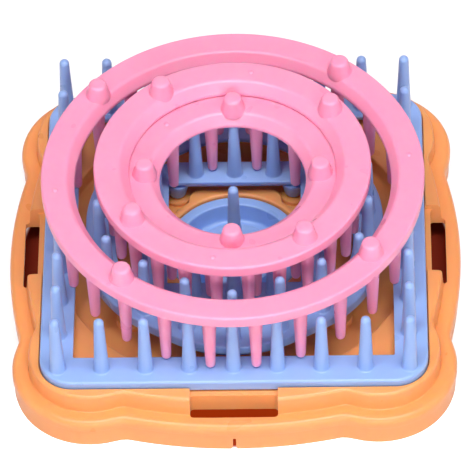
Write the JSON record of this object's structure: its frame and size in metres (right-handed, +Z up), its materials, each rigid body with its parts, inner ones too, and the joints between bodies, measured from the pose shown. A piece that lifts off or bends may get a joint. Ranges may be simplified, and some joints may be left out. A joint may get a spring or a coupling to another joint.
{
  "type": "nested peg loom set on a storage tray",
  "caption": "Set of peg looms for hand knitting: square, hexagon and ring frames nested on a lobed storage tray with a post dish in the middle.",
  "frame": {"origin": "centre of the tray's footprint, on the surface it stands on", "axes": "+Z up along the pegs, +Y from the front slit to the back, +X to the right"},
  "size_m": [0.1474, 0.1474, 0.0601],
  "materials": {
    "orange_plastic": "smooth moulded plastic, satin gloss",
    "blue_plastic": "smooth moulded plastic, satin gloss",
    "pink_plastic": "smooth moulded plastic, satin gloss"
  },
  "bodies": {
    "tray": {"base_tray": "orange_plastic", "centre_dish": "blue_plastic"},
    "large_square": {"large_square_loom": "blue_plastic"},
    "large_ring": {"large_ring_loom": "pink_plastic"},
    "hexagon": {"hexagon_loom": "blue_plastic"},
    "small_square": {"small_square_loom": "blue_plastic"},
    "small_ring": {"small_ring_loom": "pink_plastic"},
    "medium_ring": {"medium_ring_loom": "pink_plastic"}
  },
  "joints": [
    {"name": "lift_large_square", "type": "slide", "parent": "tray", "child": "large_square", "axis": [0, 0, 1], "range_m": [0, 0.051]},
    {"name": "lift_large_ring", "type": "slide", "parent": "large_square", "child": "large_ring", "axis": [0, 0, 1], "range_m": [0, 0.041]},
    {"name": "lift_hexagon", "type": "slide", "parent": "tray", "child": "hexagon", "axis": [0, 0, 1], "range_m": [0, 0.046]},
    {"name": "lift_small_square", "type": "slide", "parent": "hexagon", "child": "small_square", "axis": [0, 0, 1], "range_m": [0, 0.046]},
    {"name": "lift_small_ring", "type": "slide", "parent": "small_square", "child": "small_ring", "axis": [0, 0, 1], "range_m": [0, 0.036]},
    {"name": "lift_medium_ring", "type": "slide", "parent": "small_ring", "child": "medium_ring", "axis": [0, 0, 1], "range_m": [0, 0.031]}
  ]
}
